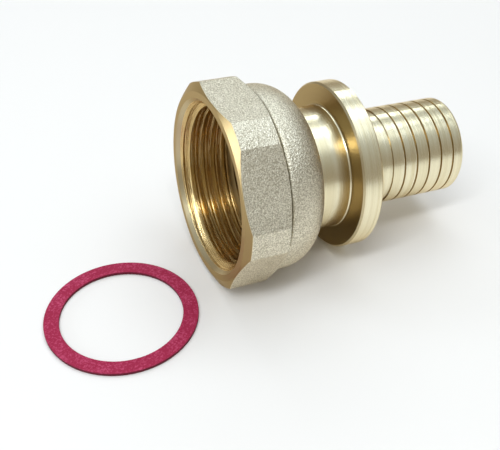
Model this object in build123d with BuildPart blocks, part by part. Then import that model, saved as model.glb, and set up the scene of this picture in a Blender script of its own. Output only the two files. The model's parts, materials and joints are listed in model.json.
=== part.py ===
from build123d import *

import math
import os

# Transition coupling from a threaded fitting to plastic pipe: a forged union nut that turns on a turned
# brass tail, and the flat gasket that lies loose beside it. All lengths are in millimetres.
#
# The coupling lies as it comes to rest, on the lower flat of the hexagon and the rim of the stop disc.
# Its axis is parallel to the XZ plane, with the nut's mouth toward -X. "Along" is measured from the nut's
# front face, the ground is z = 0, and the origin is the middle of the footprint.

# Union nut
ACROSS_FLATS = 37.6
CORNER_RISE = 1.5  # height of the turned corners over the flats
FACE_INSET = 0.2  # the front face's ring ends this far inside the flats
CHAMFER_ANGLE = 26.0  # of the corners' front chamfer, from the face
HEX_LENGTH = 9.6
REAR_SLOPE = 62.0  # of the corners' rear slope, from the axis
CREASE_DEPTH = 0.7  # of the valley behind the hexagon, under the flats
SHOULDER_INSET = 0.3  # the round shoulder stays this far inside the flats
SHOULDER_LEAD = 0.85  # from the valley to the shoulder's widest ring
SHOULDER_BAND = 1.3  # straight stretch of the shoulder, before it curves in
NUT_LENGTH = 18.1
RIM_WIDTH = 1.6  # flat ring round the rear hole
RIM_ROUND = 0.5

# Inside of the union nut
MOUTH_DEPTH = 1.0  # of the countersink that leads into the thread
MOUTH_FLARE = 0.7  # of the countersink's radius over the thread's roots
THREAD_WALL = 2.1755  # brass between the flats and the thread's roots
THREAD_DEPTH = 1.479  # from the thread's roots to its crests
THREAD_END = 11.2
PLAIN_BORE_EXTRA = 0.25  # of the plain bore's radius over the thread's crests
SEAT_DEPTH = 14.0

# Tailpiece
NECK_CLEARANCE = 0.6  # round the neck, in the nut's rear hole
NECK_ROUND = 0.5  # between the neck and the stop disc
FLANGE_CLEARANCE = 0.35  # round the flange, inside the thread's crests
FLANGE_THICKNESS = 2.0
FLANGE_STEP = 2.3955  # height of the flange over the neck
FLANGE_ROUND = 0.6
SEAT_CLEARANCE = 0.3  # between the flange and the nut's seat
NUT_TRAVEL = 7.15  # bare neck between the nut and the stop disc
DISC_DIAMETER = 33.9
DISC_THICKNESS = 4.4
DISC_EDGE = 0.35
PLAIN_LENGTH = 6.65  # of the spigot, from the disc to its first tooth

# Toothed spigot
TOOTH_COUNT = 6
TOOTH_PITCH = 2.87
TOOTH_DIAMETER = 19.8
TOOTH_DEPTH = 0.22
TOOTH_LAND = 2.4
END_LENGTH = 2.4  # from the last tooth's step to the spigot's end
END_ROUND = 0.6

# Waterway
SPIGOT_WALL = 1.85  # under the roots of the teeth
NECK_WALL = 2.0
FUNNEL_ANGLE = 45.0  # of the step between the two bores, from the axis
BORE_CHAMFER = 0.4

# Gasket
GASKET_CLEARANCE = 0.145  # round the gasket, inside the thread's crests
GASKET_WIDTH = 3.0
GASKET_THICKNESS = 0.7
GASKET_EDGE = 0.12
GASKET_AHEAD = 21.5  # of the gasket's centre before the nut's mouth
GASKET_ASIDE = 7.5  # of the gasket's centre beside the axis

# Radii and places along the axis that follow from the sizes above
flat_radius = ACROSS_FLATS / 2
corner_radius = flat_radius + CORNER_RISE
face_radius = flat_radius - FACE_INSET
crease_radius = flat_radius - CREASE_DEPTH
shoulder_radius = flat_radius - SHOULDER_INSET
thread_radius = flat_radius - THREAD_WALL
thread_crest_radius = thread_radius - THREAD_DEPTH
plain_bore_radius = thread_crest_radius + PLAIN_BORE_EXTRA
flange_radius = thread_crest_radius - FLANGE_CLEARANCE
neck_radius = flange_radius - FLANGE_STEP
hole_radius = neck_radius + NECK_CLEARANCE
rim_radius = hole_radius + RIM_WIDTH
disc_radius = DISC_DIAMETER / 2
crest_radius = TOOTH_DIAMETER / 2
root_radius = crest_radius - TOOTH_DEPTH
spigot_bore_radius = root_radius - SPIGOT_WALL
neck_bore_radius = neck_radius - NECK_WALL
gasket_radius = thread_crest_radius - GASKET_CLEARANCE

chamfer_end = (corner_radius - face_radius) * math.tan(math.radians(CHAMFER_ANGLE))
rear_run = 1 / math.tan(math.radians(REAR_SLOPE))
slope_start = HEX_LENGTH - (corner_radius - crease_radius) * rear_run
flat_start = FACE_INSET * math.tan(math.radians(CHAMFER_ANGLE))
flat_end = HEX_LENGTH - CREASE_DEPTH * rear_run
shoulder_top = HEX_LENGTH + SHOULDER_LEAD
shoulder_end = shoulder_top + SHOULDER_BAND

flange_rear = SEAT_DEPTH - SEAT_CLEARANCE
flange_front = flange_rear - FLANGE_THICKNESS
disc_front = NUT_LENGTH + NUT_TRAVEL
disc_rear = disc_front + DISC_THICKNESS
first_tooth = disc_rear + PLAIN_LENGTH
last_tooth = first_tooth + (TOOTH_COUNT - 1) * TOOTH_PITCH
spigot_end = last_tooth + END_LENGTH
funnel_run = (neck_bore_radius - spigot_bore_radius) / math.tan(math.radians(FUNNEL_ANGLE))

# The rest: one edge of the disc touches the ground, the rear one if the hexagon is the wider of the two,
# and so does the end of a flat or of the shoulder that the slope meets first
disc_touch = disc_rear - DISC_EDGE if flat_radius > disc_radius else disc_front + DISC_EDGE
nut_ends = [(flat_start, flat_radius), (flat_end, flat_radius), (shoulder_end, shoulder_radius)]
tilt = max(math.atan2(radius - disc_radius, disc_touch - place) for place, radius in nut_ends)
axis_height = disc_touch * math.sin(tilt) + disc_radius * math.cos(tilt)
left_end = -GASKET_AHEAD - gasket_radius
right_end = (
    (spigot_end - END_ROUND) * math.cos(tilt)
    + (crest_radius - END_ROUND) * math.sin(tilt)
    + END_ROUND
)
mouth_x = -(left_end + right_end) / 2
near_side = min(-corner_radius, -GASKET_ASIDE - gasket_radius)
far_side = max(corner_radius, gasket_radius - GASKET_ASIDE)
axis_y = -(near_side + far_side) / 2

along = Plane(
    origin=(mouth_x, axis_y, axis_height),
    x_dir=(math.cos(tilt), 0, -math.sin(tilt)),
    z_dir=(0, -1, 0),
)
across = Plane(origin=along.origin, x_dir=(0, 1, 0), z_dir=along.x_dir)
coupling_axis = Axis(along.origin, along.x_dir)


def corner(sketch, place, radius):
    """The vertex of a half section that is nearest to a place along the axis and a radius."""
    return sketch.vertices().sort_by_distance((place, radius, 0))[0]


os.makedirs("parts", exist_ok=True)

# The nut is a hexagon with turned corners, and a round shoulder behind it that closes in on the neck
with BuildPart() as union_nut:
    with BuildSketch(across):
        RegularPolygon(flat_radius, 6, major_radius=False)
    extrude(amount=HEX_LENGTH)
    with BuildSketch(along):
        with BuildLine():
            Polyline(
                (0, 0),
                (0, face_radius),
                (chamfer_end, corner_radius),
                (slope_start, corner_radius),
                (HEX_LENGTH, crease_radius),
                (HEX_LENGTH, 0),
                close=True,
            )
        make_face()
    revolve(axis=coupling_axis, mode=Mode.INTERSECT)
    with BuildSketch(along) as shoulder_section:
        with BuildLine():
            lead = Line((HEX_LENGTH, 0), (HEX_LENGTH, crease_radius))
            rise = TangentArc((shoulder_top, shoulder_radius), lead @ 1, tangent=(-1, 0))
            band = Line(rise @ 0, (shoulder_end, shoulder_radius))
            dome = TangentArc(band @ 1, (NUT_LENGTH, rim_radius), tangent=(1, 0))
            Polyline(dome @ 1, (NUT_LENGTH, 0), lead @ 0)
        make_face()
        fillet(corner(shoulder_section, NUT_LENGTH, rim_radius), RIM_ROUND)
    revolve(axis=coupling_axis)
    with BuildSketch(along):
        with BuildLine():
            Polyline(
                (0, 0),
                (0, thread_radius + MOUTH_FLARE),
                (MOUTH_DEPTH, thread_radius),
                (THREAD_END, thread_radius),
                (THREAD_END + thread_radius - plain_bore_radius, plain_bore_radius),
                (SEAT_DEPTH, plain_bore_radius),
                (SEAT_DEPTH, hole_radius),
                (NUT_LENGTH, hole_radius),
                (NUT_LENGTH, 0),
                close=True,
            )
        make_face()
    revolve(axis=coupling_axis, mode=Mode.SUBTRACT)
union_nut.part.label = "union_nut"
export_step(union_nut.part, "parts/union_nut.step")

# The tail is turned in one piece: sealing flange, neck, stop disc and a spigot of saw-tooth rings, whose
# steep sides face the disc
outline = [
    (flange_front, neck_bore_radius),
    (flange_front, flange_radius),
    (flange_rear, flange_radius),
    (flange_rear, neck_radius),
    (disc_front, neck_radius),
    (disc_front, disc_radius),
    (disc_rear, disc_radius),
    (disc_rear, root_radius),
]
for tooth in range(TOOTH_COUNT):
    step = first_tooth + tooth * TOOTH_PITCH
    outline.append((step, root_radius))
    outline.append((step, crest_radius))
    land_end = step + TOOTH_LAND if tooth < TOOTH_COUNT - 1 else spigot_end
    outline.append((land_end, crest_radius))
outline += [
    (spigot_end, spigot_bore_radius),
    (disc_front + funnel_run, spigot_bore_radius),
    (disc_front, neck_bore_radius),
]

with BuildPart() as tailpiece:
    with BuildSketch(along) as tail_section:
        with BuildLine():
            Polyline(*outline, close=True)
        make_face()
        fillet(corner(tail_section, disc_front, neck_radius), NECK_ROUND)
        fillet(corner(tail_section, flange_rear, neck_radius), FLANGE_ROUND)
        fillet(corner(tail_section, flange_rear, flange_radius), FLANGE_ROUND)
        chamfer(corner(tail_section, disc_front, disc_radius), DISC_EDGE)
        chamfer(corner(tail_section, disc_rear, disc_radius), DISC_EDGE)
        fillet(corner(tail_section, spigot_end, crest_radius), END_ROUND)
        chamfer(corner(tail_section, spigot_end, spigot_bore_radius), BORE_CHAMFER)
    revolve(axis=coupling_axis)
tailpiece.part.label = "tailpiece"
export_step(tailpiece.part, "parts/tailpiece.step")

# The gasket lies flat on the ground before the mouth
with BuildPart() as gasket:
    with BuildSketch(Plane((mouth_x - GASKET_AHEAD, axis_y - GASKET_ASIDE, 0))):
        Circle(gasket_radius)
        Circle(gasket_radius - GASKET_WIDTH, mode=Mode.SUBTRACT)
    extrude(amount=GASKET_THICKNESS)
    fillet(gasket.edges().filter_by(GeomType.CIRCLE), GASKET_EDGE)
gasket.part.label = "gasket"
export_step(gasket.part, "parts/gasket.step")
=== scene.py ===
"""Rendered model of a brass transition coupling with its union nut and its loose red gasket.

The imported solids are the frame. This script gives them their finishes, cuts the thread inside the nut as a
piece of its own, and sets up the floor, the light and the camera. Blender works in metres. The sizes of the
coupling below are in millimetres, and angles are in degrees.
"""
import json
import logging
import math
from dataclasses import dataclass, field
from enum import Enum
from typing import Any, Union

import bmesh
import bpy
from mathutils import Matrix, Vector


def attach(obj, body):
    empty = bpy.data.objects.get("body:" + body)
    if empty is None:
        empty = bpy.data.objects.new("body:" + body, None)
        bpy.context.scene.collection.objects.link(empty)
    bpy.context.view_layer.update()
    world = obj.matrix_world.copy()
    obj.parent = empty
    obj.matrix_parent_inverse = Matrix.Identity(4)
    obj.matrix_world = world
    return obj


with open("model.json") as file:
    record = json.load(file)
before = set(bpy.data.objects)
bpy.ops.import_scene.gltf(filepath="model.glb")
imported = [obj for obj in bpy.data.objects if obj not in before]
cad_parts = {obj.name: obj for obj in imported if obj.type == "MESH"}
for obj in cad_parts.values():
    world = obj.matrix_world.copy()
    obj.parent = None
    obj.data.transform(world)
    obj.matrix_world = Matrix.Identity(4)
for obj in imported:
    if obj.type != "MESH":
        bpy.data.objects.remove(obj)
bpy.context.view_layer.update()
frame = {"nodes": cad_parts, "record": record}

Colour = tuple[float, float, float, float]
Point = tuple[float, float, float]
Span = tuple[float, float]
Socket = bpy.types.NodeSocket
Number = Union[Socket, float]
Value = Union[Socket, float, Colour]
Sockets = dict[str, Socket]

log = logging.getLogger("coupling")
MM = 0.001


class Slot(Enum):
    """The record's material slots."""

    FORGED = "forged_brass"
    TURNED = "turned_brass"
    FIBRE = "red_fibre"


class Body(Enum):
    """The bodies that pieces ride on."""

    TAIL = "tail"
    NUT = "nut"


class Mix(Enum):
    """What a mix node mixes: its data type, the places of its two inputs and of its output."""

    NUMBERS = ("FLOAT", 2, 3, 0)
    COLOURS = ("RGBA", 6, 7, 2)


@dataclass(frozen=True)
class Brass:
    """A turned brass finish, with painted shade where the surface faces along the axis: a darker, warmer
    tone.
    """

    bright: Colour
    dull: Colour
    # painted shade: the tone of the faces along the axis
    faced: Colour
    roughness: float
    faced_roughness: float
    mark_height: float
    rings_per_mm: float = 5.0
    shade_span: Span = (0.35, 0.65)
    faced_span: Span = (0.5, 0.9)
    worn_span: Span = (0.3, 0.7)
    worn_swing: Span = (0.03, -0.03)  # of the roughness


@dataclass(frozen=True)
class Forging:
    """The blasted skin of a forging."""

    pale: Colour
    deep: Colour
    # painted shade: the colour laid into the valley behind the hexagon
    crease_shade: Colour
    roughness: float
    pit_height: float
    pits_per_mm: float
    speckle_span: Span = (0.41, 0.59)
    cloud_span: Span = (0.3, 0.7)
    cloud_swing: Span = (-0.05, 0.07)  # of the roughness


@dataclass(frozen=True)
class Fibre:
    """Punched sheet fibre."""

    body: Colour
    fleck: Colour
    edge: Colour
    roughness: float
    gloss: float
    relief: float
    fibres_per_mm: float
    cloud_scale: float = 0.15
    cloud_share: float = 0.25
    fleck_span: Span = (0.58, 0.80)


@dataclass(frozen=True)
class Lamp:
    """A softbox: its place, size and aim in metres, and its power in watts."""

    name: str
    place: Point
    size: Span
    power: float
    colour: Point
    aim: Point = (0.01, 0.0, 0.015)


TURNED = Brass(
    bright=(0.90, 0.835, 0.605, 1.0),
    dull=(0.80, 0.715, 0.475, 1.0),
    # painted shade on the faces along the axis
    faced=(0.35, 0.25, 0.112, 1.0),
    roughness=0.25,
    faced_roughness=0.34,
    mark_height=0.02,
)
# Darker and more amber than the turned outside: painted shade for the bore's inside, where light bounces
# from brass to brass
THREADED = Brass(
    bright=(0.70, 0.52, 0.25, 1.0),
    dull=(0.60, 0.42, 0.18, 1.0),
    faced=(0.62, 0.45, 0.20, 1.0),
    roughness=0.22,
    faced_roughness=0.22,
    mark_height=0.12,
)
BLASTED = Forging(
    pale=(0.87, 0.83, 0.69, 1.0),
    deep=(0.47, 0.425, 0.315, 1.0),
    # painted shade in the valley behind the hexagon
    crease_shade=(0.26, 0.24, 0.17, 1.0),
    roughness=0.38,
    pit_height=0.10,
    pits_per_mm=3.3,
)
RED_FIBRE = Fibre(
    body=(0.33, 0.010, 0.050, 1.0),
    fleck=(0.52, 0.060, 0.140, 1.0),
    edge=(0.13, 0.006, 0.022, 1.0),
    roughness=0.72,
    gloss=0.3,
    relief=0.06,
    fibres_per_mm=2.4,
)

# Brass keeps a warm tone where it is seen at a slant
SLANT_TONE = (0.92, 0.80, 0.64, 1.0)

# The left strip lies along the coupling, so its light runs across the thread as one band
LAMPS = (
    Lamp("back_strip", (0.20, 0.48, 0.38), (0.50, 0.11), 0.54, (0.86, 0.96, 1.06)),
    Lamp("top_strip", (0.18, 0.20, 0.56), (0.55, 0.18), 0.81, (0.88, 0.97, 1.06)),
    Lamp("overhead_softbox", (0.20, -0.16, 0.50), (0.40, 0.26), 0.27, (0.90, 0.98, 1.06)),
    Lamp("left_strip", (-0.20, -0.185, 0.44), (0.42, 0.07), 1.06, (0.93, 0.985, 1.04), (-0.20, 0.0, 0.015)),
    Lamp("mouth_card", (-0.47, 0.19, 0.07), (0.22, 0.14), 0.91, (0.86, 0.98, 1.18)),
)

# Colours of the room by height, from the horizon to straight above
SKY_BANDS = (
    (0.0, (0.40, 0.35, 0.28, 1.0)),
    (0.40, (0.46, 0.44, 0.40, 1.0)),
    (0.74, (0.62, 0.66, 0.68, 1.0)),
    (0.92, (0.80, 0.88, 0.94, 1.0)),
    (1.0, (0.85, 0.93, 1.0, 1.0)),
)


@dataclass(frozen=True)
class CouplingAxis:
    """The line that nut and tail share, which sinks from the nut's mouth toward the spigot.

    "Along" is measured from the nut's front face.
    """

    mouth: Vector
    direction: Vector

    @classmethod
    def from_record(cls, record: dict[str, Any], countersink: float) -> "CouplingAxis":
        """Read the axis from the nut's thread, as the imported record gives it.

        Args:
            record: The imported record.
            countersink: Depth of the mouth before the thread's wall.

        Returns:
            The axis, with its start in the plane of the nut's front face.
        """
        mount = next(m for m in record["mounts"] if m["name"] == "union_thread")
        out_of_mouth = Vector(mount["axis"]).normalized()
        middle = Vector(mount["pos_m"])
        mouth = middle + out_of_mouth * (mount["dims"]["length_mm"] / 2 + countersink) * MM
        return cls(mouth=mouth, direction=-out_of_mouth)

    @property
    def tilt(self) -> float:
        """Slope of the axis against the ground, in radians."""
        return math.asin(-self.direction.z)

    @property
    def matrix(self) -> Matrix:
        """Transform from a frame whose X runs along the axis to the row frame."""
        return Matrix.Translation(self.mouth) @ Matrix.Rotation(self.tilt, 4, "Y")


class NodeTree:
    """Small helper round a shader node tree, which adds nodes and joins them."""

    def __init__(self, tree: bpy.types.NodeTree) -> None:
        """Keep the tree and empty it."""
        self.tree = tree
        tree.nodes.clear()

    def add(self, kind: str, **settings: Any) -> bpy.types.Node:
        """Add a node and set its own options.

        Args:
            kind: Blender's name of the node type.
            settings: Attributes of the node.

        Returns:
            The new node.
        """
        node = self.tree.nodes.new(kind)
        for name, value in settings.items():
            setattr(node, name, value)
        return node

    def feed(self, socket: Socket, value: Value) -> None:
        """Join a socket to another one, or set it to a plain value.

        Args:
            socket: The socket that takes the value.
            value: Socket to read, number or colour.
        """
        if isinstance(value, Socket):
            self.tree.links.new(value, socket)
        else:
            socket.default_value = value

    def coordinates(self, kind: str = "Object") -> Socket:
        """Give the texture coordinates of one kind."""
        return self.add("ShaderNodeTexCoord").outputs[kind]

    def split(self, vector: Socket) -> Sockets:
        """Take a vector apart.

        Args:
            vector: The vector's socket.

        Returns:
            The sockets of its X, Y and Z.
        """
        node = self.add("ShaderNodeSeparateXYZ")
        self.feed(node.inputs[0], vector)
        return {socket.name: socket for socket in node.outputs}

    def math(self, operation: str, *values: Number) -> Socket:
        """Work out one number from others.

        Args:
            operation: Blender's name of the operation.
            values: Sockets or numbers.

        Returns:
            The result's socket.
        """
        node = self.add("ShaderNodeMath", operation=operation)
        for socket, value in zip(node.inputs, values):
            self.feed(socket, value)
        return node.outputs[0]

    def ramp(self, value: Socket, span: Span, ends: Span = (0.0, 1.0)) -> Socket:
        """Carry a value smoothly from one range to another.

        Args:
            value: The socket to read.
            span: Inputs at which the result starts and ends.
            ends: Results at those two inputs.

        Returns:
            The result's socket.
        """
        node = self.add("ShaderNodeMapRange", interpolation_type="SMOOTHSTEP")
        names = ("Value", "From Min", "From Max", "To Min", "To Max")
        for name, given in zip(names, (value, *span, *ends)):
            self.feed(node.inputs[name], given)
        return node.outputs[0]

    def mix(self, factor: Socket, first: Value, second: Value, kind: Mix = Mix.COLOURS) -> Socket:
        """Mix two colours or two numbers.

        Args:
            factor: Share of the second one.
            first: Socket, colour or number.
            second: Socket, colour or number.
            kind: What is mixed.

        Returns:
            The mixture's socket.
        """
        data_type, first_input, second_input, output = kind.value
        node = self.add("ShaderNodeMix", data_type=data_type)
        self.feed(node.inputs[0], factor)
        self.feed(node.inputs[first_input], first)
        self.feed(node.inputs[second_input], second)
        return node.outputs[output]

    def noise(self, vector: Socket, scale: Number, detail: float = 2.0, roughness: float = 0.5) -> Socket:
        """Add a noise pattern.

        Args:
            vector: Socket of the coordinates.
            scale: Size of the pattern, as a count per unit.
            detail: How many finer layers it has.
            roughness: Weight of the finer layers.

        Returns:
            The socket of the pattern's value.
        """
        node = self.add("ShaderNodeTexNoise")
        self.feed(node.inputs["Vector"], vector)
        self.feed(node.inputs["Scale"], scale)
        self.feed(node.inputs["Detail"], detail)
        self.feed(node.inputs["Roughness"], roughness)
        return node.outputs[0]

    def bump(self, height: Socket, distance: float) -> Socket:
        """Turn a height into a normal.

        Args:
            height: The height's socket.
            distance: Depth of the relief.

        Returns:
            The normal's socket.
        """
        node = self.add("ShaderNodeBump")
        self.feed(node.inputs["Height"], height)
        node.inputs["Distance"].default_value = distance * MM
        node.inputs["Strength"].default_value = 1.0
        return node.outputs[0]

    def use_group(self, group: bpy.types.NodeTree, values: dict[str, Number]) -> Sockets:
        """Place a node group in the tree.

        Args:
            group: The group.
            values: Sockets or numbers for its inputs, by name.

        Returns:
            The group's outputs by name.
        """
        node = self.add("ShaderNodeGroup", node_tree=group)
        for name, value in values.items():
            self.feed(node.inputs[name], value)
        return {socket.name: socket for socket in node.outputs}


def new_group(
    name: str, inputs: tuple[str, ...], outputs: tuple[str, ...]
) -> tuple[NodeTree, Sockets, Sockets]:
    """Start a shader node group of number sockets.

    Args:
        name: The group's name.
        inputs: Input names.
        outputs: Output names.

    Returns:
        The group's tree, its inputs by name and the sockets that its outputs take.
    """
    group = bpy.data.node_groups.new(name, "ShaderNodeTree")
    for in_out, labels in (("INPUT", inputs), ("OUTPUT", outputs)):
        for label in labels:
            group.interface.new_socket(label, in_out=in_out, socket_type="NodeSocketFloat")
    tree = NodeTree(group)
    entry = tree.add("NodeGroupInput")
    leave = tree.add("NodeGroupOutput")
    given = {label: entry.outputs[label] for label in inputs}
    taken = {label: leave.inputs[label] for label in outputs}
    return tree, given, taken


@dataclass
class Effects:
    """The surface effects of the finishes, each a node group that is built once."""

    axis: CouplingAxis
    ring_weight: float = 0.6  # of the rings' finer layers
    shade_scale: float = 0.23  # of the rings' broad shading, against the rings
    fine_scale: float = 1.3  # of the fine grain, against the pits
    fine_weight: float = 0.65  # of the fine grain's finer layers
    clouds_per_mm: float = 0.16
    place: bpy.types.NodeTree = field(init=False)
    tool_marks: bpy.types.NodeTree = field(init=False)
    blast_grain: bpy.types.NodeTree = field(init=False)

    def __post_init__(self) -> None:
        """Build the groups."""
        self.place = self._build_place()
        self.tool_marks = self._build_tool_marks()
        self.blast_grain = self._build_blast_grain()

    def _build_place(self) -> bpy.types.NodeTree:
        """Make the group that gives a point's place along the axis and its radius, in millimetres.

        Its third output is 1 where the surface faces along the axis, and 0 where it faces outward.

        Returns:
            The group.
        """
        tree, _, out = new_group("place_on_axis", (), ("Along", "Radius", "Facing"))
        turn = tree.add("ShaderNodeMapping", vector_type="TEXTURE")
        tree.feed(turn.inputs["Vector"], tree.coordinates())
        turn.inputs["Location"].default_value = self.axis.mouth
        turn.inputs["Rotation"].default_value = (0.0, self.axis.tilt, 0.0)
        turn.inputs["Scale"].default_value = (MM, MM, MM)
        parts = tree.split(turn.outputs[0])
        across = tree.math("MULTIPLY", parts["Y"], parts["Y"])
        upward = tree.math("MULTIPLY", parts["Z"], parts["Z"])
        tree.feed(out["Along"], parts["X"])
        tree.feed(out["Radius"], tree.math("SQRT", tree.math("ADD", across, upward)))
        surface = tree.add("ShaderNodeNewGeometry")
        facing = tree.add("ShaderNodeVectorMath", operation="DOT_PRODUCT")
        tree.feed(facing.inputs[0], surface.outputs["Normal"])
        facing.inputs[1].default_value = self.axis.direction
        tree.feed(out["Facing"], tree.math("ABSOLUTE", facing.outputs["Value"]))
        return tree.tree

    def _build_tool_marks(self) -> bpy.types.NodeTree:
        """Make the group for the fine rings that a turning tool leaves.

        Returns:
            The group.
        """
        inputs = ("Along", "Radius", "Rings per mm")
        tree, given, out = new_group("tool_marks", inputs, ("Height", "Shade"))
        rings = tree.add("ShaderNodeCombineXYZ")
        tree.feed(rings.inputs["X"], tree.math("MULTIPLY", given["Along"], given["Rings per mm"]))
        tree.feed(rings.inputs["Y"], tree.math("MULTIPLY", given["Radius"], given["Rings per mm"]))
        tree.feed(out["Height"], tree.noise(rings.outputs[0], 1.0, roughness=self.ring_weight))
        shade = tree.noise(rings.outputs[0], self.shade_scale, detail=3.0, roughness=self.ring_weight)
        tree.feed(out["Shade"], shade)
        return tree.tree

    def _build_blast_grain(self) -> bpy.types.NodeTree:
        """Make the group for the pitted grain that shot-blasting leaves.

        Returns:
            The group.
        """
        tree, given, out = new_group("blast_grain", ("Pits per mm",), ("Height", "Speckle", "Cloud"))
        place = tree.coordinates()
        scale = tree.math("DIVIDE", given["Pits per mm"], MM)
        pits = tree.add("ShaderNodeTexVoronoi", feature="SMOOTH_F1")
        tree.feed(pits.inputs["Vector"], place)
        tree.feed(pits.inputs["Scale"], scale)
        fine_scale = tree.math("MULTIPLY", scale, self.fine_scale)
        fine = tree.noise(place, fine_scale, detail=3.0, roughness=self.fine_weight)
        tree.feed(out["Height"], tree.math("ADD", pits.outputs["Distance"], fine))
        tree.feed(out["Speckle"], fine)
        tree.feed(out["Cloud"], tree.noise(place, self.clouds_per_mm / MM))
        return tree.tree

    def use_marks(self, tree: NodeTree, place: Sockets, finish: Brass) -> Sockets:
        """Place the rings of a turning tool in a material.

        Args:
            tree: The material's tree.
            place: Outputs of the place group.
            finish: The turned finish.

        Returns:
            The outputs of the tool marks group.
        """
        values = {
            "Along": place["Along"],
            "Radius": place["Radius"],
            "Rings per mm": finish.rings_per_mm,
        }
        return tree.use_group(self.tool_marks, values)


def new_material(name: str) -> tuple[bpy.types.Material, NodeTree, bpy.types.Node]:
    """Start a material with a Principled shader.

    Args:
        name: The material's name.

    Returns:
        The material, its tree and the shader.
    """
    material = bpy.data.materials.new(name)
    material.use_nodes = True
    tree = NodeTree(material.node_tree)
    output = tree.add("ShaderNodeOutputMaterial")
    shader = tree.add("ShaderNodeBsdfPrincipled")
    tree.feed(output.inputs["Surface"], shader.outputs[0])
    return material, tree, shader


def new_brass(name: str) -> tuple[bpy.types.Material, NodeTree, bpy.types.Node]:
    """Start a brass material.

    Args:
        name: The material's name.

    Returns:
        The material, its tree and the shader.
    """
    material, tree, shader = new_material(name)
    shader.inputs["Metallic"].default_value = 1.0
    shader.inputs["Specular Tint"].default_value = SLANT_TONE
    return material, tree, shader


def turned_material(name: str, effects: Effects, finish: Brass) -> bpy.types.Material:
    """Make a turned brass material.

    Args:
        name: The material's name.
        effects: The shared node groups.
        finish: The finish.

    Returns:
        The material.
    """
    material, tree, shader = new_brass(name)
    place = tree.use_group(effects.place, {})
    marks = effects.use_marks(tree, place, finish)
    # Painted shade: a darker, warmer tone where the surface faces along the axis
    faced = tree.ramp(place["Facing"], finish.faced_span)
    colour = tree.mix(tree.ramp(marks["Shade"], finish.shade_span), finish.dull, finish.bright)
    tree.feed(shader.inputs["Base Color"], tree.mix(faced, colour, finish.faced))
    worn = tree.ramp(marks["Shade"], finish.worn_span, finish.worn_swing)
    rough = tree.ramp(faced, (0.0, 1.0), (finish.roughness, finish.faced_roughness))
    tree.feed(shader.inputs["Roughness"], tree.math("ADD", rough, worn))
    tree.feed(shader.inputs["Normal"], tree.bump(marks["Height"], finish.mark_height))
    return material


def cover(piece: bpy.types.Object, material: bpy.types.Material) -> None:
    """Give a piece one material in place of what it has."""
    piece.data.materials.clear()
    piece.data.materials.append(material)


def new_object(name: str, data: bpy.types.ID) -> bpy.types.Object:
    """Put a new object into the scene.

    Args:
        name: The object's name.
        data: Its mesh, camera or light.

    Returns:
        The object.
    """
    item = bpy.data.objects.new(name, data)
    bpy.context.scene.collection.objects.link(item)
    return item


def new_piece(name: str, shape: bmesh.types.BMesh) -> bpy.types.Object:
    """Put a finished shape into the scene as an object.

    Args:
        name: The object's name.
        shape: The shape, which is used up.

    Returns:
        The object.
    """
    mesh = bpy.data.meshes.new(name)
    shape.to_mesh(mesh)
    shape.free()
    return new_object(name, mesh)


def set_radius(vert: bmesh.types.BMVert, radius: float) -> None:
    """Move a vertex straight away from the X axis, or toward it.

    Args:
        vert: The vertex.
        radius: Its new distance from the axis.
    """
    growth = radius / math.hypot(vert.co.y, vert.co.z)
    vert.co.y *= growth
    vert.co.z *= growth


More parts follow.
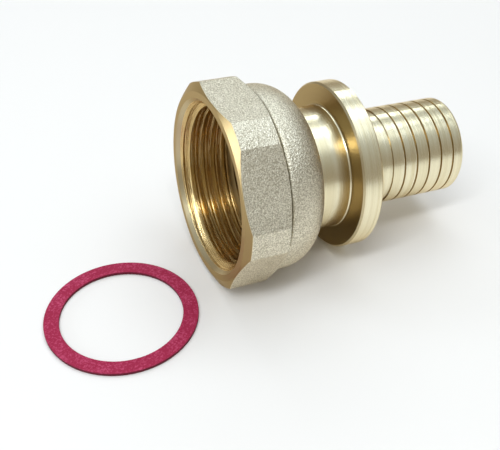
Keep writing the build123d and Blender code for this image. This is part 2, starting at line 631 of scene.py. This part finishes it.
@dataclass
class UnionNut:
    """The forged nut: blasted outside, turned at its face, inside and at its rear ring."""

    effects: Effects
    skin: Forging = BLASTED
    cut: Brass = TURNED
    face_radius: float = 18.6
    chamfer_angle: float = 26.0
    face_fade: Span = (0.03, 0.12)  # behind the face and its chamfer, where the skin begins
    bore_radius: float = 17.6
    bore_depth: float = 14.2
    rear_face: float = 18.02
    # Painted shade in the valley behind the hexagon: its place, its fade and its share
    crease_place: float = 9.6
    crease_fade: Span = (0.05, 0.32)  # to both sides of the valley's ground
    crease_share: float = 0.85
    # painted shade on the nut's face and countersink
    faced_span: Span = (0.38, 0.72)  # lower than on the tail, so the countersink takes up the faced tone

    def _turned_share(self, tree: NodeTree, place: Sockets) -> Socket:
        """Find where the nut is turned.

        Args:
            tree: The material's tree.
            place: Outputs of the place group.

        Returns:
            A mask that is 1 on the turned surfaces.
        """
        along, radius = place["Along"], place["Radius"]
        chamfer_slope = math.tan(math.radians(self.chamfer_angle))
        past_face = tree.math("MAXIMUM", tree.math("SUBTRACT", radius, self.face_radius), 0.0)
        behind_cone = tree.math("SUBTRACT", along, tree.math("MULTIPLY", past_face, chamfer_slope))
        front = tree.ramp(behind_cone, self.face_fade, (1.0, 0.0))
        inside = tree.math("LESS_THAN", radius, self.bore_radius)
        not_far = tree.math("LESS_THAN", along, self.bore_depth)
        rear = tree.math("GREATER_THAN", along, self.rear_face)
        bore = tree.math("MULTIPLY", inside, not_far)
        return tree.math("MAXIMUM", tree.math("MAXIMUM", front, bore), rear)

    def _skin_colour(self, tree: NodeTree, place: Sockets, grain: Sockets) -> Socket:
        """Colour the blasted skin, with painted shade in the valley behind the hexagon.

        Args:
            tree: The material's tree.
            place: Outputs of the place group.
            grain: Outputs of the blast grain group.

        Returns:
            The colour's socket.
        """
        # Painted shade: the skin darkens toward the valley's ground
        off_crease = tree.math("ABSOLUTE", tree.math("SUBTRACT", place["Along"], self.crease_place))
        crease_shade = tree.ramp(off_crease, self.crease_fade, (self.crease_share, 0.0))
        speckle = tree.ramp(grain["Speckle"], self.skin.speckle_span)
        return tree.mix(crease_shade, tree.mix(speckle, self.skin.deep, self.skin.pale), self.skin.crease_shade)

    def _cut_colour(self, tree: NodeTree, place: Sockets, marks: Sockets) -> Socket:
        """Colour the turned surfaces, with painted shade where they face along the axis.

        Args:
            tree: The material's tree.
            place: Outputs of the place group.
            marks: Outputs of the tool marks group.

        Returns:
            The colour's socket.
        """
        shade = tree.ramp(marks["Shade"], self.cut.shade_span)
        # painted shade where the surface faces along the axis
        faced = tree.ramp(place["Facing"], self.faced_span)
        return tree.mix(faced, tree.mix(shade, self.cut.dull, self.cut.bright), self.cut.faced)

    def _build_material(self) -> bpy.types.Material:
        """Make the nut's material.

        Returns:
            The material.
        """
        skin, cut = self.skin, self.cut
        material, tree, shader = new_brass("blasted_forging")
        place = tree.use_group(self.effects.place, {})
        grain = tree.use_group(self.effects.blast_grain, {"Pits per mm": skin.pits_per_mm})
        marks = self.effects.use_marks(tree, place, cut)
        turned = self._turned_share(tree, place)
        skin_colour = self._skin_colour(tree, place, grain)
        cut_colour = self._cut_colour(tree, place, marks)
        tree.feed(shader.inputs["Base Color"], tree.mix(turned, skin_colour, cut_colour))
        smoothest, roughest = (skin.roughness + swing for swing in skin.cloud_swing)
        skin_rough = tree.ramp(grain["Cloud"], skin.cloud_span, (smoothest, roughest))
        rough = tree.mix(turned, skin_rough, cut.faced_roughness, Mix.NUMBERS)
        tree.feed(shader.inputs["Roughness"], rough)
        pits = tree.math("MULTIPLY", grain["Height"], tree.math("SUBTRACT", 1.0, turned))
        ring_share = tree.math("MULTIPLY", turned, cut.mark_height / skin.pit_height)
        rings = tree.math("MULTIPLY", marks["Height"], ring_share)
        tree.feed(shader.inputs["Normal"], tree.bump(tree.math("ADD", pits, rings), skin.pit_height))
        return material

    def dress(self, piece: bpy.types.Object) -> None:
        """Give the nut its skin and its turned faces."""
        cover(piece, self._build_material())


@dataclass
class UnionThread:
    """The parallel pipe thread inside the nut: a sleeve in the nut's wall, with a helical inner face."""

    axis: CouplingAxis
    effects: Effects
    cut: Brass = THREADED
    pitch: float = 25.4 / 11
    root_radius: float = 16.595
    crest_radius: float = 15.45
    flank_angle: float = 27.5
    rounding: float = 0.317  # radius at the roots
    countersink: float = 1.0
    lead_in: float = 1.3
    front: float = 0.75
    fade_start: float = 10.0
    end: float = 11.15
    sleeve_radius: float = 16.85
    turns_ahead: int = 2  # turns before the nut's face, which are cut off
    steps_per_turn: int = 144
    arc_steps: int = 4
    flank_steps: int = 4
    merge_distance: float = 0.002
    cut_tolerance: float = 1e-5
    sharp_angle: float = 35.0

    def _profile(self) -> list[Span]:
        """Work out one turn's section: a rounded root, straight flanks and a flat crest.

        Returns:
            Places along the axis and radii, from the middle of one root to the middle of the next.
        """
        slope = math.radians(self.flank_angle)
        rising = []
        for step in range(self.arc_steps + 1):
            turn = (math.pi / 2 - slope) * step / self.arc_steps
            rise = self.rounding * (1 - math.cos(turn))
            rising.append((self.rounding * math.sin(turn), self.root_radius - rise))
        foot, foot_radius = rising[-1]
        height = foot_radius - self.crest_radius
        for step in range(1, self.flank_steps + 1):
            climbed = height * step / self.flank_steps
            rising.append((foot + climbed * math.tan(slope), foot_radius - climbed))
        rising.append((self.pitch / 2, self.crest_radius))
        falling = [(self.pitch - place, radius) for place, radius in reversed(rising[:-1])]
        return rising + falling

    def _least_radius(self, along: float) -> float:
        """Give the radius that the lead-in and the run-out leave open.

        Args:
            along: Place along the axis.

        Returns:
            The least radius of the thread there.
        """
        height = self.root_radius - self.crest_radius
        opened = self.root_radius - height * (along - self.countersink) / self.lead_in
        faded = self.crest_radius + height * (along - self.fade_start) / (self.end - self.fade_start)
        return max(opened, faded, self.crest_radius)

    def _spin(self, shape: bmesh.types.BMesh) -> None:
        """Wind one turn's section round the X axis into a helix.

        Args:
            shape: The empty shape to wind it in.
        """
        start = self.turns_ahead * self.pitch
        points = [shape.verts.new((place - start, 0.0, radius)) for place, radius in self._profile()]
        edges = [shape.edges.new(pair) for pair in zip(points, points[1:])]
        turns = math.ceil(self.end / self.pitch) + self.turns_ahead
        bmesh.ops.spin(
            shape,
            geom=points + edges,
            cent=(0.0, 0.0, 0.0),
            axis=(1.0, 0.0, 0.0),
            dvec=(self.pitch / self.steps_per_turn, 0.0, 0.0),
            angle=turns * 2 * math.pi,
            steps=turns * self.steps_per_turn,
        )
        bmesh.ops.remove_doubles(shape, verts=shape.verts, dist=self.merge_distance)

    def _trim(self, shape: bmesh.types.BMesh) -> None:
        """Cut the lead-in and the run-out, and cut the helix off at both ends.

        Args:
            shape: The helix.
        """
        for vert in shape.verts:
            radius = math.hypot(vert.co.y, vert.co.z)
            set_radius(vert, max(radius, self._least_radius(vert.co.x)))
        for place, outward in ((self.front, -1.0), (self.end, 1.0)):
            bmesh.ops.bisect_plane(
                shape,
                geom=shape.verts[:] + shape.edges[:] + shape.faces[:],
                dist=self.cut_tolerance,
                plane_co=(place, 0.0, 0.0),
                plane_no=(outward, 0.0, 0.0),
                clear_outer=True,
            )

    def _close(self, shape: bmesh.types.BMesh) -> None:
        """Close the sleeve behind the thread, inside the nut's wall.

        Args:
            shape: The thread's inner face.
        """
        rims = [edge for edge in shape.edges if edge.is_boundary]
        pulled = bmesh.ops.extrude_edge_only(shape, edges=rims)["geom"]
        for vert in (item for item in pulled if isinstance(item, bmesh.types.BMVert)):
            set_radius(vert, self.sleeve_radius)
        bmesh.ops.bridge_loops(shape, edges=[edge for edge in shape.edges if edge.is_boundary])
        bmesh.ops.recalc_face_normals(shape, faces=shape.faces)

    def build(self) -> bpy.types.Object:
        """Cut the thread.

        Returns:
            The piece, in the row frame.
        """
        shape = bmesh.new()
        self._spin(shape)
        self._trim(shape)
        self._close(shape)
        bmesh.ops.scale(shape, vec=(MM, MM, MM), verts=shape.verts)
        bmesh.ops.transform(shape, matrix=self.axis.matrix, verts=shape.verts)
        piece = new_piece("union_thread", shape)
        mesh = piece.data
        mesh.polygons.foreach_set("use_smooth", [True] * len(mesh.polygons))
        mesh.set_sharp_from_angle(angle=math.radians(self.sharp_angle))
        return piece

    def dress(self, piece: bpy.types.Object) -> None:
        """Give the thread its cut finish, with the bore's painted shade in its colours."""
        cover(piece, turned_material("cut_thread", self.effects, self.cut))


@dataclass
class Tailpiece:
    """The turned tail with its neck, stop disc and toothed spigot."""

    effects: Effects
    finish: Brass = TURNED

    def dress(self, piece: bpy.types.Object) -> None:
        """Give the tail its turned finish."""
        cover(piece, turned_material("turned_tail", self.effects, self.finish))


@dataclass
class Gasket:
    """The flat ring of red fibre, darker on its sides below the upper face."""

    finish: Fibre = RED_FIBRE
    thickness: float = 0.7
    edge_fade: Span = (0.12, 0.02)  # under the upper face

    def _build_material(self) -> bpy.types.Material:
        """Make the gasket's material.

        Returns:
            The material.
        """
        finish = self.finish
        material, tree, shader = new_material("red_sheet_fibre")
        place = tree.coordinates()
        scale = finish.fibres_per_mm / MM
        fibres = tree.noise(place, scale, detail=4.0, roughness=0.7)
        cloud = tree.noise(place, scale * finish.cloud_scale)
        low, high = ((self.thickness - depth) * MM for depth in self.edge_fade)
        on_top = tree.ramp(tree.split(place)["Z"], (low, high))
        clouded = tree.math("ADD", fibres, tree.math("MULTIPLY", cloud, finish.cloud_share))
        face = tree.mix(tree.ramp(clouded, finish.fleck_span), finish.body, finish.fleck)
        tree.feed(shader.inputs["Base Color"], tree.mix(on_top, finish.edge, face))
        shader.inputs["Roughness"].default_value = finish.roughness
        shader.inputs["Specular IOR Level"].default_value = finish.gloss
        tree.feed(shader.inputs["Normal"], tree.bump(fibres, finish.relief))
        return material

    def dress(self, piece: bpy.types.Object) -> None:
        """Give the gasket its red fibre."""
        cover(piece, self._build_material())


@dataclass
class Studio:
    """The pale floor, the soft light and the camera at the photo's angle."""

    axis: CouplingAxis
    azimuth: float = -23.0
    elevation: float = 39.8
    roll: float = -1.0
    distance: float = 169.7  # from the camera to what it aims at
    aim_right: float = 8.38  # from the middle of the nut's mouth, as the camera sees it
    aim_up: float = -7.42
    nearest: float = 5.0
    focal_pixels: float = 876.6
    picture_width: float = 500.0  # in pixels
    sensor_width: float = 36.0
    floor_reach: float = 4000.0
    floor_drop: float = 0.01  # under the ground plane
    floor_colour: Colour = (0.90, 0.86, 0.815, 1.0)
    floor_shade: float = 0.985  # of the colour, in the darker clouds
    floor_clouds: float = 12.0  # in a metre
    floor_roughness: float = 0.9
    floor_gloss: float = 0.1
    lamps: tuple[Lamp, ...] = LAMPS
    sky_bands: tuple[tuple[float, Colour], ...] = SKY_BANDS
    sky_strength: float = 0.81

    def build_camera(self) -> None:
        """Set the camera where the photo was taken from."""
        turn = math.radians(self.azimuth)
        lift = math.radians(self.elevation)
        right = Vector((math.cos(turn), math.sin(turn), 0.0))
        ahead = Vector((-math.sin(turn), math.cos(turn), 0.0))
        upward = Vector((0.0, 0.0, 1.0))
        up = ahead * math.sin(lift) + upward * math.cos(lift)
        back = upward * math.sin(lift) - ahead * math.cos(lift)
        target = self.axis.mouth + (right * self.aim_right + up * self.aim_up) * MM
        data = bpy.data.cameras.new("camera")
        data.sensor_width = self.sensor_width
        data.lens = self.focal_pixels / self.picture_width * self.sensor_width
        data.clip_start = self.nearest * MM
        camera = new_object("camera", data)
        camera.matrix_world = (
            Matrix.Translation(target + back * self.distance * MM)
            @ Matrix((right, up, back)).transposed().to_4x4()
            @ Matrix.Rotation(math.radians(self.roll), 4, "Z")
        )
        bpy.context.scene.camera = camera

    def build_floor(self) -> None:
        """Lay the floor just under the ground plane."""
        shape = bmesh.new()
        bmesh.ops.create_grid(shape, x_segments=1, y_segments=1, size=self.floor_reach * MM)
        bmesh.ops.translate(shape, vec=(0.0, 0.0, -self.floor_drop * MM), verts=shape.verts)
        floor = new_piece("floor", shape)
        material, tree, shader = new_material("pale_floor")
        cloud = tree.noise(tree.coordinates(), self.floor_clouds)
        darker = tuple(self.floor_shade * part for part in self.floor_colour[:3]) + (1.0,)
        tree.feed(shader.inputs["Base Color"], tree.mix(cloud, self.floor_colour, darker))
        shader.inputs["Roughness"].default_value = self.floor_roughness
        shader.inputs["Specular IOR Level"].default_value = self.floor_gloss
        cover(floor, material)

    def build_lamps(self) -> None:
        """Hang the softboxes, each turned toward its aim."""
        for lamp in self.lamps:
            data = bpy.data.lights.new(lamp.name, "AREA")
            data.shape = "RECTANGLE"
            data.size, data.size_y = lamp.size
            data.energy = lamp.power
            data.color = lamp.colour
            box = new_object(lamp.name, data)
            box.location = lamp.place
            toward = Vector(lamp.aim) - Vector(lamp.place)
            box.rotation_mode = "QUATERNION"
            box.rotation_quaternion = toward.to_track_quat("-Z", "Y")

    def build_sky(self) -> None:
        """Light the room softly from above, warmer and dimmer toward the horizon."""
        world = bpy.data.worlds.new("room")
        bpy.context.scene.world = world
        world.use_nodes = True
        tree = NodeTree(world.node_tree)
        output = tree.add("ShaderNodeOutputWorld")
        light = tree.add("ShaderNodeBackground")
        tree.feed(output.inputs["Surface"], light.outputs[0])
        height = tree.split(tree.coordinates("Generated"))["Z"]
        ramp = tree.add("ShaderNodeValToRGB")
        tree.feed(ramp.inputs[0], height)
        bands = ramp.color_ramp.elements
        while len(bands) < len(self.sky_bands):
            bands.new(1.0)
        for band, (position, colour) in zip(bands, self.sky_bands):
            band.position = position
            band.color = colour
        tree.feed(light.inputs["Color"], ramp.outputs[0])
        light.inputs["Strength"].default_value = self.sky_strength

    def build(self) -> None:
        """Set up the whole studio."""
        self.build_camera()
        self.build_floor()
        self.build_lamps()
        self.build_sky()
        bpy.context.scene.view_settings.view_transform = "Standard"


def report(piece: bpy.types.Object, body: Body, slot: Slot) -> None:
    """Log a finished piece with its body, its slot and its faces."""
    log.info("%s: %s, %s, %d faces", piece.name, body.value, slot.value, len(piece.data.polygons))


def main() -> None:
    """Dress the solids, cut the thread and set up the studio."""
    logging.basicConfig(level=logging.INFO, format="%(message)s")
    axis = CouplingAxis.from_record(frame["record"], UnionThread.countersink)
    effects = Effects(axis)
    nodes = frame["nodes"]

    UnionNut(effects).dress(nodes["union_nut"])
    report(nodes["union_nut"], Body.NUT, Slot.FORGED)

    thread = UnionThread(axis, effects)
    piece = thread.build()
    thread.dress(piece)
    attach(piece, Body.NUT.value)
    report(piece, Body.NUT, Slot.TURNED)

    Tailpiece(effects).dress(nodes["tailpiece"])
    report(nodes["tailpiece"], Body.TAIL, Slot.TURNED)

    Gasket().dress(nodes["gasket"])
    report(nodes["gasket"], Body.TAIL, Slot.FIBRE)

    Studio(axis).build()


if __name__ == "__main__":
    main()
